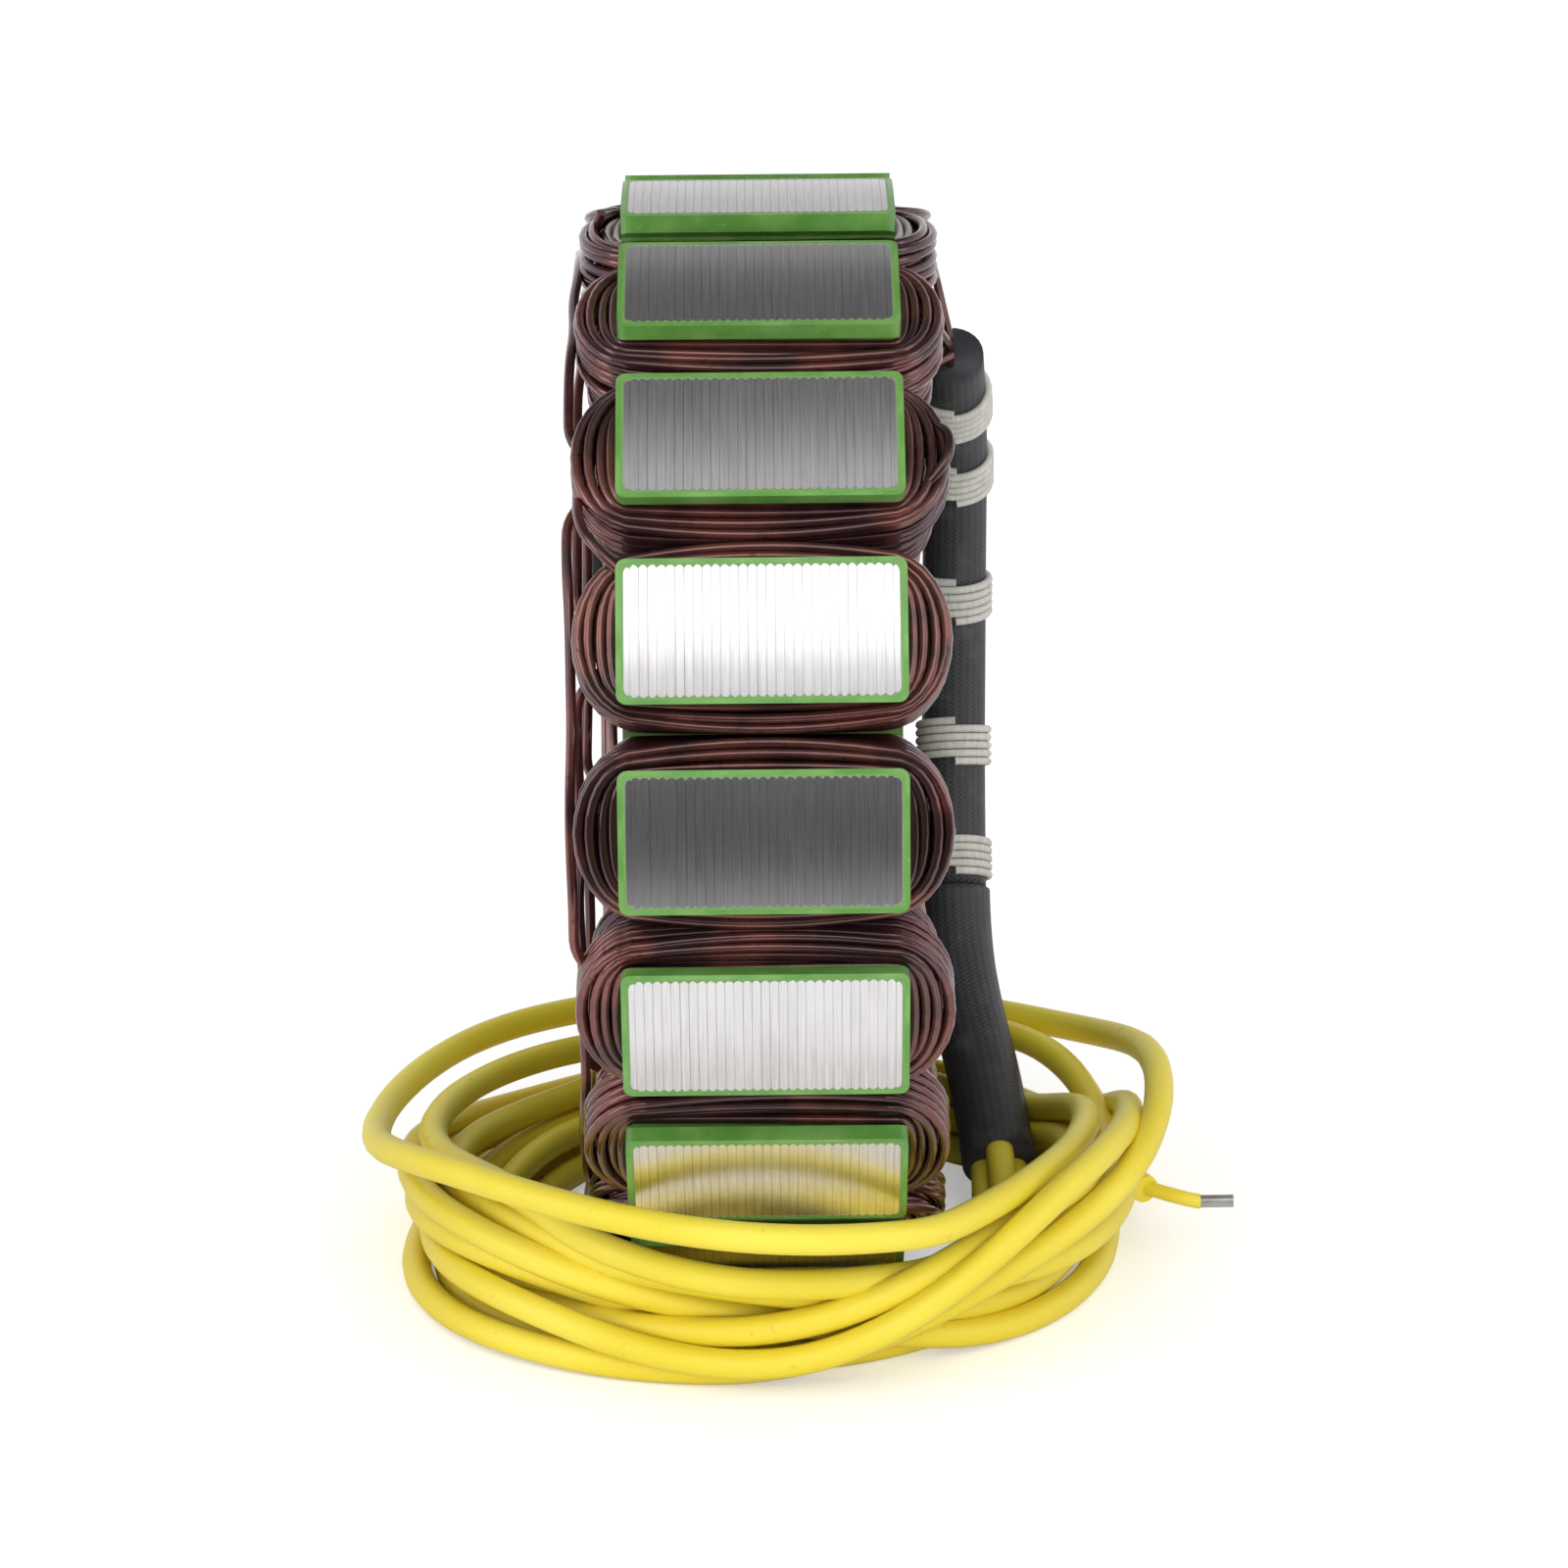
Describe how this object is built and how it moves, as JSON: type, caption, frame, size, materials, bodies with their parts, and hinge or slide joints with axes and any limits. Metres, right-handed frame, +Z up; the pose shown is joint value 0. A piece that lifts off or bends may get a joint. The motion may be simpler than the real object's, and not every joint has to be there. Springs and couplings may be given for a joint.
{
  "type": "motorcycle stator",
  "caption": "Alternator stator: a slotted ring of steel sheets with epoxy-coated poles, a wire coil on each pole, and coiled yellow output leads in a black sleeve.",
  "frame": {"origin": "middle of the bore, halfway through the stack of sheets", "axes": "+X along the bore, towards the side where the leads leave; +Z up, with the ring standing on its rim"},
  "size_m": [0.0879, 0.108, 0.108],
  "materials": {
    "bare_steel": "ground",
    "green_epoxy": "glossy powder coat",
    "rivet_steel": "peened",
    "enamelled_wire": "clear enamel over copper",
    "black_sleeving": "soft vinyl",
    "lacing_cord": "waxed cord",
    "yellow_lead": "satin vinyl",
    "tinned_copper": "tinned strands"
  },
  "bodies": {
    "root": {"lamination_stack": "bare_steel", "insulation_coat": "green_epoxy", "core_rivets": "rivet_steel", "crossover_a": "enamelled_wire", "crossover_b": "enamelled_wire", "crossover_c": "enamelled_wire", "star_splice": "black_sleeving", "star_wires": "enamelled_wire", "phase_wires": "enamelled_wire", "upper_sleeve": "black_sleeving", "lower_sleeve": "black_sleeving", "sleeve_ties": "lacing_cord", "lead_a": "yellow_lead", "lead_b": "yellow_lead", "lead_c": "yellow_lead", "lead_coil": "yellow_lead", "lead_tail": "yellow_lead", "lead_tip": "tinned_copper", "coil_01": "enamelled_wire", "coil_02": "enamelled_wire", "coil_03": "enamelled_wire", "coil_04": "enamelled_wire", "coil_05": "enamelled_wire", "coil_06": "enamelled_wire", "coil_07": "enamelled_wire", "coil_08": "enamelled_wire", "coil_09": "enamelled_wire", "coil_10": "enamelled_wire", "coil_11": "enamelled_wire", "coil_12": "enamelled_wire", "coil_13": "enamelled_wire", "coil_14": "enamelled_wire", "coil_15": "enamelled_wire", "coil_16": "enamelled_wire", "coil_17": "enamelled_wire", "coil_18": "enamelled_wire"}
  },
  "joints": []
}
